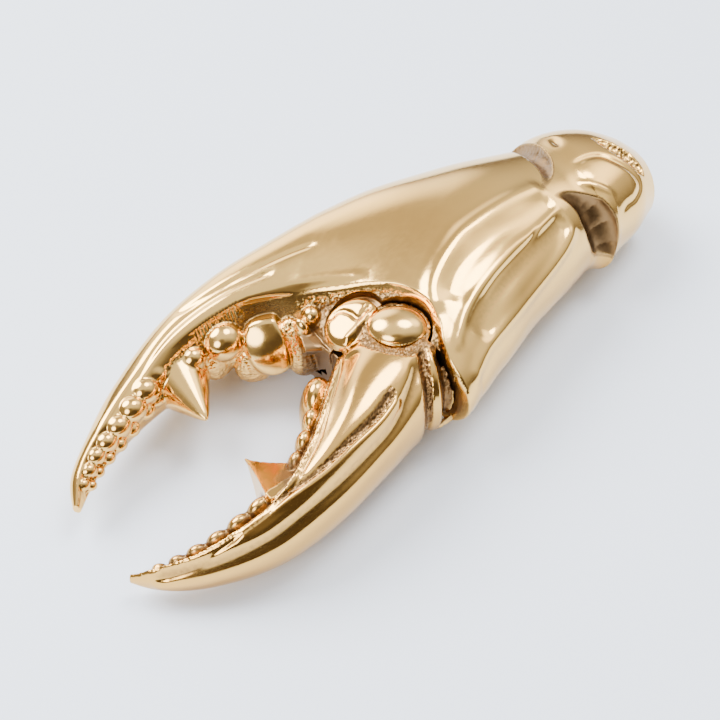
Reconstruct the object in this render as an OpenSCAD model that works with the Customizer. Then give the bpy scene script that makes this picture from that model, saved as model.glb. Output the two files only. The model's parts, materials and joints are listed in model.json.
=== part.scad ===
// Lobster-claw cracker: a hollow cast claw in two half shells, with one
// hinged finger that closes on the fixed finger against a return spring.
// Fingers point to -X, the wrist to +X, and the claw rests flat on z = 0.

/* [Claw] */
// Length from the finger tips to the end of the wrist
claw_length = 174; // [168:1:182]
// Wall thickness of the two half shells
wall = 3.2; // [2.6:0.1:4]
// Height of the parting seam between the half shells
seam_z = 15; // [14:0.5:16]
// Angle that the moving finger closes through
closing_angle = 12; // [6:1:12]
// Gap between the moving finger and the shells
swing_gap = 0.5; // [0.4:0.1:0.8]

/* [Knuckle] */
// Diameter of the pivot pin
pin_d = 6; // [5:0.5:6.5]
// Outer diameter of the bronze bush
bush_d = 9; // [8.5:0.5:9.5]
// Diameter of the domed cap at each end of the pivot pin
cap_d = 12.4; // [11:0.2:13]
// Height of the lug that the finger's two ears straddle
lug_height = 10; // [8:0.5:11]
// Radius of the lug around the pivot
lug_r = 10; // [9.5:0.1:10.5]
// Thickness of each thrust washer
washer_t = 0.8; // [0.6:0.1:1]

/* [Spring and stop] */
// Wire diameter of the return spring
wire_d = 1.2; // [0.8:0.1:1.4]
// Turns of the return spring
spring_turns = 3; // [2:1:4]
// Diameter of the stop pin
stop_d = 3; // [2.5:0.5:3]

/* [Fasteners] */
// Thread diameter of the shell screws
screw_d = 4; // [3:0.5:4]
// Diameter of the locating dowels
dowel_d = 3; // [2:0.5:4]

/* [Hidden] */
$fn = 64;

design_length = 174;
k = claw_length / design_length;
// Middle of the claw's footprint in the design coordinates used below
footprint = [12.5, 1.8, 0];
pivot = [5.3, -7];
boss = [-1.8, 0.2];
boss_r = 5.8;
lobe = [-16, -7.4];
lobe_r = 5.2;
ear_r = 8;
section_sides = 26;
section_steps = 3;
section_power = 2.2;
far = 200;

lug_bottom = seam_z - lug_height / 2;
lug_top = seam_z + lug_height / 2;
ear_gap_bottom = lug_bottom - washer_t;
ear_gap_top = lug_top + washer_t;
bush_bore_d = pin_d + 0.1;
cap_seat_top = 25.4;
cap_seat_bottom = 4.6;
cap_height = 5;
low_cap_height = 4;
pin_grip = 1.6;
spring_r = (bush_d + wire_d) / 2 + 0.9;
spring_well_r = spring_r + wire_d / 2 + 0.5;
spring_pitch = wire_d + 0.35;
spring_bottom = lug_top - spring_turns * spring_pitch - wire_d;
tang_length = 2.6;
stop_angle = 118;
stop_orbit = 12.5;
stop_reach = 2.2;
column_r = 5;
screw_places = [[24, 4], [36, 20], [56, 12]];
dowel_places = [[12, 26], [64, 11]];
screw_head_z = 1.2;
screw_head_r = screw_d;
screw_length = 19;
dowel_length = 9;

// Stations along each body: spine x and y, half width towards the mouth side and
// towards the outer side, lowest z, highest z, and z of the widest line.
palm = [
    [78, 10, 15, 15, 2, 29, 15],
    [70, 10.5, 18.5, 18, 1, 31.5, 15],
    [62, 11, 21.5, 20, -0.4, 33, 15],
    [50, 11.5, 25.5, 23, -0.8, 34.5, 15],
    [38, 12, 30, 25, -0.8, 35, 15],
    [26, 12, 34.5, 26, -0.8, 34.6, 15],
    [16, 12, 38.5, 25, -0.8, 33, 15],
    [6, 12, 41, 22, -0.4, 30.5, 15],
    [-3, 13, 34, 14, 0.5, 26.5, 15],
    [-9, 15, 22, 8, 2, 22, 14]];
fixed_finger = [
    [30, 23, 15, 12, 0.5, 32, 15],
    [12, 25, 17, 13, 0.5, 32.5, 15],
    [-4, 26.5, 17, 11, 0.8, 31, 15],
    [-19, 27.5, 13, 9, 1.5, 28.5, 14.5],
    [-34, 25.5, 8, 8, 2.5, 25, 13.5],
    [-50, 19.8, 4.4, 6.3, 3.5, 20.5, 12],
    [-61, 13.8, 3.2, 5.3, 4.5, 17, 10.5],
    [-69.5, 9, 2.4, 3.8, 5.5, 13, 9],
    [-74.5, 4.5, 1, 1, 6.5, 9.5, 8]];
wrist = [
    [67, 11, 16, 18, 1, 29, 15],
    [73, 11.5, 19.8, 22, 0.6, 31, 15],
    [79, 11, 20, 20.5, 0.6, 31.5, 15],
    [87, 9.5, 17.8, 16.5, 1.5, 30, 15],
    [93, 8.5, 14.5, 13, 3, 27, 14.5],
    [98, 7.5, 10.5, 9.5, 5.5, 23, 14]];
finger = [
    [7, -9.5, 12.5, 14.5, 1.5, 28, 15],
    [-4, -13.5, 12.5, 13, 1.5, 29, 15],
    [-16, -19.5, 11, 11, 2, 28, 14.5],
    [-30, -24.7, 9, 8.7, 2, 25, 13.5],
    [-44, -27, 7.3, 7.2, 2, 21, 12],
    [-57, -25.3, 4.8, 5.5, 2, 16.5, 10],
    [-67, -21, 2.9, 3.4, 2.5, 12, 7.5],
    [-73, -16.5, 1, 1, 4.5, 7.5, 6]];
// Front edge of the palm on the outer side of the moving finger
spur_line = [[7, -60], [7.5, -34], [11, -24]];
// Shelf that carries the nodules, cut into the mouth side of the fixed finger
shelf = [
    [10, 6, 18, 9, 24, 46, 32],
    [-4, 10.5, 18, 11.5, 23, 46, 32],
    [-19, 14, 14, 9.5, 21.5, 45, 30],
    [-35, 13.5, 12, 8, 18.5, 42, 26],
    [-50, 8.5, 10, 7, 15, 36, 21],
    [-63, 1, 9, 6.5, 11.5, 30, 17],
    [-74, -10, 8, 7, 8, 24, 13]];
// Crescent recesses between the palm's rim and the wrist
near_crescent = [
    [68, 4, 0.8, 0.8, 29, 42, 35],
    [70, 0, 3.2, 3.2, 25, 42, 33],
    [69, -7, 4.2, 4.2, 22, 40, 31],
    [64.5, -13.5, 3, 3, 17, 36, 26],
    [57, -18, 0.6, 0.6, 13, 26, 19]];
far_crescent = [
    [65.5, 6.6, 0.8, 0.8, 29, 42, 35],
    [67.5, 12, 2.8, 2.8, 25, 42, 33],
    [68, 19, 3.4, 3.4, 22, 40, 31],
    [64, 25.5, 1, 1, 19, 36, 26]];
// Catmull-Rom value at t between rows i and i + 1 of a table
function row(table, i) = table[max(0, min(len(table) - 1, i))];
function between(p, q, r, s, t) =
    0.5 * (2 * q + (r - p) * t + (2 * p - 5 * q + 4 * r - s) * t * t
           + (3 * q - p - 3 * r + s) * t * t * t);
function smooth(table, steps) = [
    for (i = [0 : len(table) - 2], j = [0 : steps - 1])
        between(row(table, i - 1), row(table, i), row(table, i + 1), row(table, i + 2), j / steps),
    table[len(table) - 1]];

// Unit normal of the spine, towards the outer side of the fixed finger
function heading(rows, i) =
    let (d = row(rows, i + 1) - row(rows, i - 1)) [d.x, d.y] / norm([d.x, d.y]);
function side(rows, i) = let (h = heading(rows, i)) [h.y, -h.x];
function rounded(v) = sign(v) * pow(abs(v), 2 / section_power);
function ring(s, n) = [
    for (a = [0 : 360 / section_sides : 359.9])
        let (across = rounded(cos(a)) * (cos(a) > 0 ? s[3] : s[2]),
             up = rounded(sin(a)) * (sin(a) > 0 ? s[5] - s[6] : s[6] - s[4]))
        [s.x + n.x * across, s.y + n.y * across, s[6] + up]];

// Solid skinned over a table of stations
module loft(table) {
    rows = smooth(table, section_steps);
    m = section_sides;
    last = len(rows) - 1;
    points = [for (i = [0 : last]) each ring(rows[i], side(rows, i))];
    walls = [for (i = [0 : last - 1], j = [0 : m - 1], half = [0, 1])
        let (a = i * m + j, b = i * m + (j + 1) % m)
        half == 0 ? [a, b, b + m] : [a, b + m, a + m]];
    ends = [[for (j = [m - 1 : -1 : 0]) j], [for (j = [0 : m - 1]) last * m + j]];
    polyhedron(points, concat(walls, ends));
}

// Plan outline of a table of stations, pointed side inwards
module outline(table) {
    rows = smooth(table, section_steps);
    last = len(rows) - 1;
    edge = function (i, w) [rows[i].x, rows[i].y] + side(rows, i) * w;
    polygon([for (i = [0 : last]) edge(i, rows[i][3]), for (i = [last : -1 : 0]) edge(i, -rows[i][2])]);
}

// Places a design-frame shape in the part's frame
module placed() scale(k) translate(-footprint) children();

// Turns the children about the pivot through the finger's travel, a step at a time
module swept(direction) {
    step = closing_angle / 4;
    for (a = [0 : step : closing_angle])
        translate(pivot) rotate(direction * a) translate(-pivot) children();
}

module slab(low, high) translate([0, 0, low]) linear_extrude(high - low) children();

module post(place, r, low, high) translate([place.x, place.y, low]) cylinder(r = r, h = high - low);

module ball(place, size) translate(place) scale(size) sphere(1, $fn = 14);

// Cone from a base point to a tip point
module spike(base, tip, base_r, tip_r, sides) {
    d = tip - base;
    translate(base) rotate([0, acos(d.z / norm(d)), atan2(d.y, d.x)])
        cylinder(r1 = base_r, r2 = tip_r, h = norm(d), $fn = sides);
}

// Plan of the moving finger with its ears and boss
module finger_plan() {
    outline(finger);
    translate(pivot) circle(ear_r, $fn = 32);
    translate(boss) circle(boss_r, $fn = 32);
    translate(lobe) circle(lobe_r, $fn = 32);
}

// Plan of the lug with its neck into the palm
module lug_plan() {
    neck = [14, -4];
    shoulder = pivot + (stop_orbit - 6) * [cos(stop_angle), sin(stop_angle)];
    for (end = [neck, shoulder]) {
        d = end - pivot;
        translate(pivot) circle(lug_r, $fn = 32);
        translate(end) circle(lug_r, $fn = 32);
        translate(pivot) rotate(atan2(d.y, d.x)) translate([0, -lug_r]) square([norm(d), 2 * lug_r]);
    }
}

// Rounded teeth and nodules cast on the fixed finger
module nodules() {
    ball([-17.5, 12.5, 19], [6.2, 6.8, 6]);
    ball([-27.8, 19, 18.8], [5.4, 4.8, 4.6]);
    ball([-36.5, 17.5, 17.4], [3, 3, 3.4]);
    ball([-7.4, 9.4, 20], [3.4, 3, 3.4]);
    spike([-38.6, 19, 12.5], [-40, 4.6, 14.5], 6.4, 0.6, 20);
    rows = smooth(fixed_finger, section_steps);
    for (i = [15 : len(rows) - 3]) {
        s = rows[i];
        inward = side(rows, i);
        top = [s.x, s.y] - inward * s[2] * 0.5;
        low = [s.x, s.y] - inward * s[2] * 0.9;
        ball([top.x, top.y, s[6] + 0.45 * (s[5] - s[6])], [1, 1, 1] * s[2] * 0.5);
        ball([low.x, low.y, s[6]], [1, 1, 1] * s[2] * 0.4);
    }
}

// Slanted pocket in the end of the wrist
module wrist_mouth() {
    translate([95, 6, 26]) rotate([0, 45, -8]) scale([1, 2.2, 1])
        cylinder(r1 = 2.6, r2 = 4.4, h = 22, center = true, $fn = 24);
}

// Outer form of the palm, the wrist and the fixed finger
module claw_form() {
    difference() {
        union() {
            loft(palm);
            loft(wrist);
            difference() {
                loft(fixed_finger);
                loft(shelf);
            }
            nodules();
        }
        loft(near_crescent);
        loft(far_crescent);
        wrist_mouth();
        translate([0, 0, -far / 2]) cube(far, center = true);
    }
}

// Hollow of the palm, with solid columns left for the fasteners
module palm_hollow() {
    inner = [for (s = palm) if (s.x > 20 && s.x < 64) [s.x, s.y, s[2] - wall, s[3] - wall, max(s[4], 0) + wall, s[5] - wall, s[6]]];
    difference() {
        union() {
            loft(inner);
            ball([81, 9.5, 15], [9, 13, 9.5]);
        }
        for (p = concat(screw_places, dowel_places)) post(p, column_r, 0, far);
    }
}

// Both half shells in one piece, before the parting cut
module claw_casting() {
    difference() {
        claw_form();
        palm_hollow();
        slab(-1, far) {
            swept(-1) offset(delta = swing_gap) finger_plan();
            polygon(concat([[-60, -60]], spur_line, [[-60, -24]]));
        }
        for (z = [[lug_top, far], [-1, lug_bottom]])
            slab(z[0], z[1]) offset(delta = 1.6) {
                translate(pivot) circle(ear_r, $fn = 32);
                swept(-1) translate(boss) circle(boss_r + swing_gap, $fn = 32);
            }
    }
    slab(lug_bottom, lug_top) lug_plan();
}

// Space above the parting seam, which follows the fixed finger down to its tip
module above_seam() {
    translate([0, far / 2, 0]) rotate([90, 0, 0]) linear_extrude(far)
        polygon([[-90, 4], [-15, seam_z], [110, seam_z], [110, 90], [-90, 90]]);
}

// Everything bored through the shells along Z
module shell_bores() {
    post(pivot, bush_d / 2, lug_bottom - 1, lug_top + 1);
    post(pivot, spring_well_r, spring_bottom, lug_top + 1);
    post(stop_place(), stop_d / 2, lug_bottom - 1, lug_top + 1);
    for (p = dowel_places) post(p, dowel_d / 2, seam_z - dowel_length / 2, seam_z + dowel_length / 2);
    post(tang_place(0), tang_r, spring_bottom - tang_length, spring_bottom + 1);
}

tang_r = wire_d / 2 + 0.1;
function stop_place() = pivot + stop_orbit * [cos(stop_angle), sin(stop_angle)];
function tang_place(turn) = pivot + spring_r * [cos(turn), sin(turn)];

module upper_shell() {
    color("darkgoldenrod") placed() difference() {
        resize([0, 0, 0]) intersection() {
            claw_casting();
            above_seam();
        }
        shell_bores();
        for (p = screw_places) post(p, screw_d / 2, seam_z - 1, screw_head_z + screw_length + 1);
    }
}

module lower_shell() {
    color("goldenrod") placed() difference() {
        resize([0, 0, 0]) difference() {
            claw_casting();
            above_seam();
        }
        shell_bores();
        for (p = screw_places) {
            post(p, screw_d / 2 + 0.25, screw_head_z, seam_z + 1);
            translate([p.x, p.y, screw_head_z]) cylinder(r1 = screw_head_r + 0.2, r2 = screw_d / 2, h = 2.4);
            post(p, screw_head_r + 0.2, -1, screw_head_z);
        }
    }
}

// Finger with its two ears, before the round bores
module finger_casting() {
    difference() {
        union() {
            loft(finger);
            slab(3, 26) translate(pivot) circle(ear_r);
            post(boss, boss_r, 4, 25);
            for (z = [4, 25]) ball([boss.x, boss.y, z], [boss_r, boss_r, 3]);
            spike([-36.5, -20, 11], [-39, -9.6, 14], 7, 0.6, 4);
            for (i = [0 : 4])
                ball([-46 - 5 * i, -21.4 + 0.9 * i * i / 4, 12 - 1.2 * i], [3, 2.2, 3] * (1 - 0.1 * i));
            ball([lobe.x, lobe.y, 12], [lobe_r, lobe_r, lobe_r]);
        }
        slab(ear_gap_bottom, ear_gap_top) swept(1) offset(delta = swing_gap) lug_plan();
    }
}

module moving_finger() {
    color("gold") placed() difference() {
        resize([0, 0, 0]) finger_casting();
        post(pivot, pin_d / 2, 0, far);
        post(pivot, cap_d / 2 + 0.1, cap_seat_top, far);
        post(pivot, cap_d / 2 + 0.1, -1, cap_seat_bottom);
        for (a = [0 : closing_angle / 3 : closing_angle])
            post(pivot + stop_orbit * [cos(stop_angle + a), sin(stop_angle + a)], stop_d / 2 + 0.3,
                 lug_bottom - washer_t - stop_reach - 0.4, lug_top + washer_t + stop_reach + 0.4);
        post(tang_place(180), tang_r, ear_gap_top - 1, lug_top + tang_length + 0.5);
    }
}

module pivot_pin() {
    color("silver") placed()
        post(pivot, pin_d / 2, cap_seat_bottom - pin_grip, cap_seat_top + pin_grip);
}

module pivot_bush() {
    color("peru") placed() difference() {
        post(pivot, bush_d / 2, lug_bottom, lug_top);
        post(pivot, bush_bore_d / 2, lug_bottom - 1, lug_top + 1);
    }
}

module thrust_washer(z) {
    color("peru") placed() difference() {
        post(pivot, bush_d / 2, z, z + washer_t);
        post(pivot, pin_d / 2, z - 1, z + washer_t + 1);
    }
}

module upper_thrust_washer() thrust_washer(lug_top);

module lower_thrust_washer() thrust_washer(lug_bottom - washer_t);

// Domed cap with a blind bore that grips the end of the pin
module knuckle_cap(height, dome_height) {
    flank = height - dome_height;
    sphere_r = (pow(cap_d / 2, 2) + pow(dome_height, 2)) / (2 * dome_height);
    difference() {
        union() {
            cylinder(d = cap_d, h = flank);
            translate([0, 0, flank]) intersection() {
                cylinder(d = cap_d, h = dome_height);
                translate([0, 0, dome_height - sphere_r]) sphere(sphere_r);
            }
        }
        translate([0, 0, -1]) cylinder(d = pin_d, h = 1 + pin_grip);
    }
}

module upper_knuckle_cap() {
    color("gold") placed() translate([pivot.x, pivot.y, cap_seat_top]) knuckle_cap(cap_height, 3.2);
}

module lower_knuckle_cap() {
    color("gold") placed() translate([pivot.x, pivot.y, cap_seat_bottom]) mirror([0, 0, 1])
        knuckle_cap(low_cap_height, 2.4);
}

// Torsion spring around the bush, with one tang down in the lug and one up in the ear
module return_spring() {
    sides = 8;
    per_turn = 18;
    count = per_turn * (spring_turns + 0.5);
    coil_bottom = spring_bottom + wire_d / 2 + 0.1;
    top_z = coil_bottom + spring_pitch * count / per_turn;
    centre = function (i) let (a = 360 * i / per_turn)
        [pivot.x + spring_r * cos(a), pivot.y + spring_r * sin(a), coil_bottom + spring_pitch * i / per_turn];
    points = [for (i = [0 : count], j = [0 : sides - 1])
        let (a = 360 * i / per_turn, b = 360 * j / sides)
        centre(i) + wire_d / 2 * [cos(a) * cos(b), sin(a) * cos(b), sin(b)]];
    walls = [for (i = [0 : count - 1], j = [0 : sides - 1], half = [0, 1])
        let (p = i * sides + j, q = i * sides + (j + 1) % sides)
        half == 0 ? [p, q, q + sides] : [p, q + sides, p + sides]];
    ends = [[for (j = [sides - 1 : -1 : 0]) j], [for (j = [0 : sides - 1]) count * sides + j]];
    color("dimgray") placed() resize([0, 0, 0]) {
        polyhedron(points, concat(walls, ends));
        post(tang_place(0), wire_d / 2, spring_bottom - tang_length + 0.3, coil_bottom, $fn = 16);
        post(tang_place(180), wire_d / 2, top_z, lug_top + tang_length, $fn = 16);
        translate(centre(0)) sphere(d = wire_d, $fn = 16);
        translate(centre(count)) sphere(d = wire_d, $fn = 16);
    }
}

// Pin through the lug that runs in the slots of both ears
module stop_pin() {
    color("silver") placed()
        post(stop_place(), stop_d / 2, lug_bottom - washer_t - stop_reach, lug_top + washer_t + stop_reach);
}

module dowel_pins() {
    color("silver") placed() for (p = dowel_places)
        post(p, dowel_d / 2, seam_z - dowel_length / 2, seam_z + dowel_length / 2);
}

// Countersunk screws that hold the lower shell to the upper one
module shell_screws() {
    color("silver") placed() for (p = screw_places) translate([p.x, p.y, screw_head_z]) difference() {
        union() {
            cylinder(r1 = screw_head_r, r2 = screw_d / 2, h = 2.2);
            cylinder(d = screw_d, h = screw_length);
        }
        translate([0, 0, -1]) cylinder(d = 2.5, h = 2.4, $fn = 6);
    }
}

upper_shell();
lower_shell();
moving_finger();
pivot_pin();
pivot_bush();
upper_thrust_washer();
lower_thrust_washer();
upper_knuckle_cap();
lower_knuckle_cap();
return_spring();
stop_pin();
dowel_pins();
shell_screws();
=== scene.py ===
"""Polished brass lobster-claw cracker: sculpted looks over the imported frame.

Shapes are described as distance fields in the claw's design millimetres (fingers towards -X,
wrist towards +X, flat side on z = 0) and meshed here, then moved into the part's frame.
"""

import json
import math

import bpy
import numpy as np
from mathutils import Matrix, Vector
from mathutils.geometry import delaunay_2d_cdt


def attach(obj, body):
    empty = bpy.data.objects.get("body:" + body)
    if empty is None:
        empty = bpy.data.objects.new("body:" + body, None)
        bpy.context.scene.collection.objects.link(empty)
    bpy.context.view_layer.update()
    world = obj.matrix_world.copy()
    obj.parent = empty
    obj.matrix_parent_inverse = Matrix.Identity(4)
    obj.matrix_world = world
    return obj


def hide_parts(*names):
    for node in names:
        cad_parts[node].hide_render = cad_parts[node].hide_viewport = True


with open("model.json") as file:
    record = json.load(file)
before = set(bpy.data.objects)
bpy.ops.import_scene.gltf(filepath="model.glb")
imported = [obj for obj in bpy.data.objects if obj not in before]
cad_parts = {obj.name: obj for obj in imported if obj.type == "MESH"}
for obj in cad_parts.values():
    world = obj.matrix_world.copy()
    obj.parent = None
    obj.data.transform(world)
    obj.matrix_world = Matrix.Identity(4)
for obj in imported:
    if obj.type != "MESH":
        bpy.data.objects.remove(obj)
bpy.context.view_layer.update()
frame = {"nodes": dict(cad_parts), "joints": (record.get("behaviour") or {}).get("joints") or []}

VOXEL = 0.42
MM = 0.001

# Pivot of the hinge in design millimetres, and the part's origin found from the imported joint
PIVOT = np.array([5.3, -7.0])
JOINT_POS = np.array(frame["joints"][0]["pos_m"][:2])
FOOTPRINT = np.append(PIVOT - JOINT_POS / MM, 0.0)
CLOSING = 12.0
# Running clearance between the fingers at the knuckle
GAP = 0.32
# Flattens points onto the plan
FLATTEN = np.array([1, 1, 0])
# How far from a chased line its pits are looked for
STREAK_REACH = 4

# Stations: spine x and y, half widths towards the mouth and outwards, lowest z, highest z,
# and z of the widest line
PALM = [
    [78, 10, 15, 15, 2, 29, 15], [70, 10.5, 18.5, 18, 1, 31.5, 15], [62, 11, 21.5, 20, -0.4, 33, 15],
    [50, 11.5, 25.5, 23, -0.8, 34.5, 15], [38, 12, 30, 25, -0.8, 35, 15],
    [26, 12, 34.5, 26, -0.8, 34.6, 15], [16, 12, 38.5, 25, -0.8, 33, 15],
    [6, 12, 41, 22, -0.4, 30.5, 15], [-3, 13, 34, 14, 0.5, 26.5, 15], [-9, 15, 22, 8, 2, 22, 14]]
FIXED_FINGER = [
    [48, 17, 9, 8, 4, 27, 15], [30, 22.5, 14, 12, 1, 31.5, 15], [12, 25, 17, 13, 0.5, 32.5, 15],
    [-4, 26.5, 17, 11, 0.8, 31, 15], [-19, 27.5, 13, 9, 1.5, 28.5, 14.5],
    [-34, 25.5, 8, 8, 2.5, 25, 13.5], [-50, 19.8, 4.4, 6.3, 3.5, 20.5, 12],
    [-61, 13.8, 3.2, 5.3, 4.5, 17, 10.5], [-69.5, 9, 2.4, 3.8, 5.5, 13, 9],
    [-74.5, 4.5, 1, 1, 6.5, 9.5, 8]]
WRIST = [
    [67, 11, 16, 18, 1, 29, 15], [73, 11.5, 19.8, 22, 0.6, 31, 15], [79, 11, 20, 20.5, 0.6, 31.5, 15],
    [87, 9.5, 17.8, 16.5, 1.5, 30, 15], [93, 8.5, 14.5, 13, 3, 27, 14.5], [98, 7.5, 10.5, 9.5, 5.5, 23, 14]]
FINGER = [
    [7, -9.5, 15.5, 12.5, 1.5, 28, 15], [-4, -13.5, 14, 12.4, 1.5, 29, 15],
    [-16, -19.5, 11, 11, 2, 28, 14.5], [-30, -24.7, 9, 8.7, 2, 25, 13.5],
    [-44, -27, 7.3, 7.2, 2, 21, 12], [-57, -25.3, 4.8, 5.5, 2, 16.5, 10],
    [-67, -21, 2.9, 3.4, 2.5, 12, 7.5], [-73, -16.5, 1, 1, 4.5, 7.5, 6]]


def cubic(table, u):
    """Value and first two derivatives of the smooth curve through the table's rows at place u, in rows."""
    rows = np.array(table, float)
    padded = np.vstack([rows[:1], rows, rows[-1:]])
    i = np.clip(u.astype(int), 0, len(rows) - 2)
    t = (u - i)[:, None]
    p, q, r, s = padded[i], padded[i + 1], padded[i + 2], padded[i + 3]
    b, c, e = r - p, 2 * p - 5 * q + 4 * r - s, 3 * q - p - 3 * r + s
    return 0.5 * (2 * q + b * t + c * t**2 + e * t**3), 0.5 * (b + 2 * c * t + 3 * e * t**2), c + 3 * e * t


def catmull(table, steps):
    """Smooth rows through the table's rows, with that many steps from each to the next."""
    return cubic(table, np.arange((len(table) - 1) * steps + 1) / steps)[0]


def nearest(line, points):
    """Segment, place along it and squared distance of each point's nearest spot on a polyline."""
    low = line.astype(np.float32)
    low2 = (low**2).sum(1)
    seg = np.diff(line, axis=0)
    seg2 = (seg**2).sum(1)
    last = len(seg) - 1
    index = np.empty(len(points), int)
    place = np.empty(len(points))
    gap2 = np.empty(len(points))
    for a in range(0, len(points), 40000):
        q = points[a:a + 40000]
        i = (low2 - 2 * q.astype(np.float32) @ low.T).argmin(1)
        best = None
        for j in (np.clip(i - 1, 0, last), np.clip(i, 0, last)):
            w = np.clip(((q - line[j]) * seg[j]).sum(1) / seg2[j], 0, 1)
            g = ((q - line[j] - w[:, None] * seg[j])**2).sum(1)
            if best is None:
                best = (j, w, g)
            else:
                better = g < best[2]
                best = tuple(np.where(better, x, y) for x, y in zip((j, w, g), best))
        index[a:a + 40000], place[a:a + 40000], gap2[a:a + 40000] = best
    return index, place, gap2


def foot(table, line, steps, points):
    """Place, in rows, of the spot on the smooth curve nearest each point, and the value and slope there."""
    width = points.shape[1]
    j, w, _ = nearest(line, points)
    u = (j + w) / steps
    path = np.array(table, float)[:, :width]
    for _ in range(2):
        spot, step, bend = cubic(path, u)
        off = points - spot
        length2 = (step**2).sum(1)
        u = u + (off * step).sum(1) / np.maximum(length2 - (off * bend).sum(1), 0.3 * length2)
        u = np.clip(u, 0, len(path) - 1)
    row, heading, _ = cubic(table, u)
    return u, row, heading


def smin(a, b, k):
    """Smooth union of two fields, blended over k millimetres."""
    h = np.clip(0.5 + 0.5 * (b - a) / k, 0, 1)
    return b + (a - b) * h - k * h * (1 - h)


def smax(a, b, k):
    """Smooth intersection of two fields, blended over k millimetres."""
    return -smin(-a, -b, k)


def ramp(x, low, high):
    """0 below low, 1 above high, and smooth between them."""
    t = np.clip((x - low) / (high - low), 0, 1)
    return t * t * (3 - 2 * t)


def in_plan(points):
    """The points' x and y."""
    return np.ascontiguousarray(points[:, :2])


def leftward(step, off):
    """How far, in plan, each offset lies to the left of its heading."""
    return (step[:, 0] * off[:, 1] - step[:, 1] * off[:, 0]) / np.linalg.norm(step[:, :2], axis=1)


def plan_distance(points, place):
    """Distance in plan from a place."""
    return np.hypot(points[:, 0] - place[0], points[:, 1] - place[1])


def from_pivot(points):
    """Distance in plan from the hinge."""
    return plan_distance(points, PIVOT)


class Loft:
    """Distance to a body skinned over a table of stations along a curved spine."""

    def __init__(self, table, power=2.2, steps=8, flat_end=None):
        self.table = table
        self.steps = steps
        self.spine = catmull(table, steps)[:, :2]
        self.power = power
        self.flat_end = flat_end

    def beyond_face(self, points):
        """Signed distance past the flat face at one end of the spine."""
        last = self.flat_end == "last"
        end, inner = self.spine[-1 if last else 0], self.spine[-2 if last else 1]
        return (points[:, :2] - end) @ unit(end - inner)

    def local(self, points):
        """Offset across the spine, offset past its ends, and the station there."""
        plan = in_plan(points)
        u, row, heading = foot(self.table, self.spine, self.steps, plan)
        t = heading[:, :2] / np.linalg.norm(heading[:, :2], axis=1)[:, None]
        off = plan - row[:, :2]
        at_end = (u <= 0) | (u >= len(self.table) - 1)
        return off[:, 0] * t[:, 1] - off[:, 1] * t[:, 0], np.where(at_end, (off * t).sum(1), 0), row

    def __call__(self, points):
        across, past, row = self.local(points)
        width = np.where(across > 0, row[:, 3], row[:, 2])
        rise = points[:, 2] - row[:, 6]
        height = np.where(rise > 0, row[:, 5] - row[:, 6], row[:, 6] - row[:, 4])
        p = self.power
        a, b = np.abs(across) / width, np.abs(rise) / height
        g = (a**p + b**p + 1e-9)**(1 / p)
        slope = np.sqrt((a**(p - 1) / width)**2 + (b**(p - 1) / height)**2) / g**(p - 1)
        d = (g - 1) / np.maximum(slope, 0.35 / np.maximum(width, height))
        beyond = np.where(d > 0, np.sqrt(np.maximum(d, 0)**2 + past**2), np.maximum(np.abs(past), d))
        d = np.where(np.abs(past) > 1e-6, beyond, d)
        return d if self.flat_end is None else np.maximum(d, self.beyond_face(points))


class Curve:
    """Smooth line in space, used to draw ridges, grooves and edges on a form."""

    def __init__(self, points, steps=6):
        self.points = points
        self.steps = steps
        self.line = catmull(points, steps)
        lengths = np.linalg.norm(np.diff(self.line, axis=0), axis=1)
        self.along = np.append(0, np.cumsum(lengths))
        self.length = self.along[-1]
        self.low, self.high = self.line.min(0), self.line.max(0)
        self.start_taper = self.end_taper = 4.0

    def near(self, points, reach):
        """Which points are in reach, and their distance from the line and place along it."""
        close = np.all((points > self.low - reach) & (points < self.high + reach), axis=1)
        q = points[close]
        if not len(q):
            return close, np.zeros(0), np.zeros(0)
        u, spot, _ = foot(self.points, self.line, self.steps, q)
        return close, np.linalg.norm(q - spot, axis=1), self.distance(u)

    def plan_foot(self, points):
        """Place, spot and heading on the curve nearest each point in plan."""
        return foot(self.points, self.line[:, :2], self.steps, in_plan(points))

    def distance(self, u):
        """Distance along the curve from its start to place u."""
        return np.interp(u * self.steps, np.arange(len(self.along)), self.along)

    def taper(self, along):
        """Fades a stroke in and out at the curve's ends."""
        return ramp(along, 0, self.start_taper) * ramp(self.length - along, 0, self.end_taper)


def stroke(d, points, curve, width, height):
    """Raises a ridge of that height along the curve, or cuts a groove if the height is negative."""
    close, gap, along = curve.near(points, 3 * width)
    out = d.copy()
    out[close] -= height * np.exp(-(gap / width)**2) * curve.taper(along)
    return out


def plan_stroke(d, points, line, width, height, taper=4.0):
    """Ridge or groove along a line drawn in plan, whatever the height of the surface."""
    curve = Curve([(x, y, 0) for x, y in line])
    curve.start_taper = curve.end_taper = taper
    return stroke(d, points * FLATTEN, curve, width, height)


def tube(points, line, radii, reach=12):
    """Distance to a tube of changing radius; points out of reach get a large distance."""
    curve = Curve(line)
    d = np.full(len(points), float(reach))
    close, gap, along = curve.near(points, reach)
    places = np.linspace(0, curve.length, len(radii))
    d[close] = gap - np.interp(along, places, radii)
    return d


def ellipsoid(points, centre, size, turn=0.0):
    """Distance to an ellipsoid, turned about Z in degrees."""
    off = points - np.array(centre, float)
    c, s = math.cos(math.radians(turn)), math.sin(math.radians(turn))
    off = np.stack([c * off[:, 0] + s * off[:, 1], -s * off[:, 0] + c * off[:, 1], off[:, 2]], 1)
    size = np.array(size, float)
    g = np.sqrt(((off / size)**2).sum(1)) + 1e-9
    slope = np.sqrt(((off / size**2)**2).sum(1)) / g
    return (g - 1) / np.maximum(slope, 0.5 / size.max())


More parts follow.
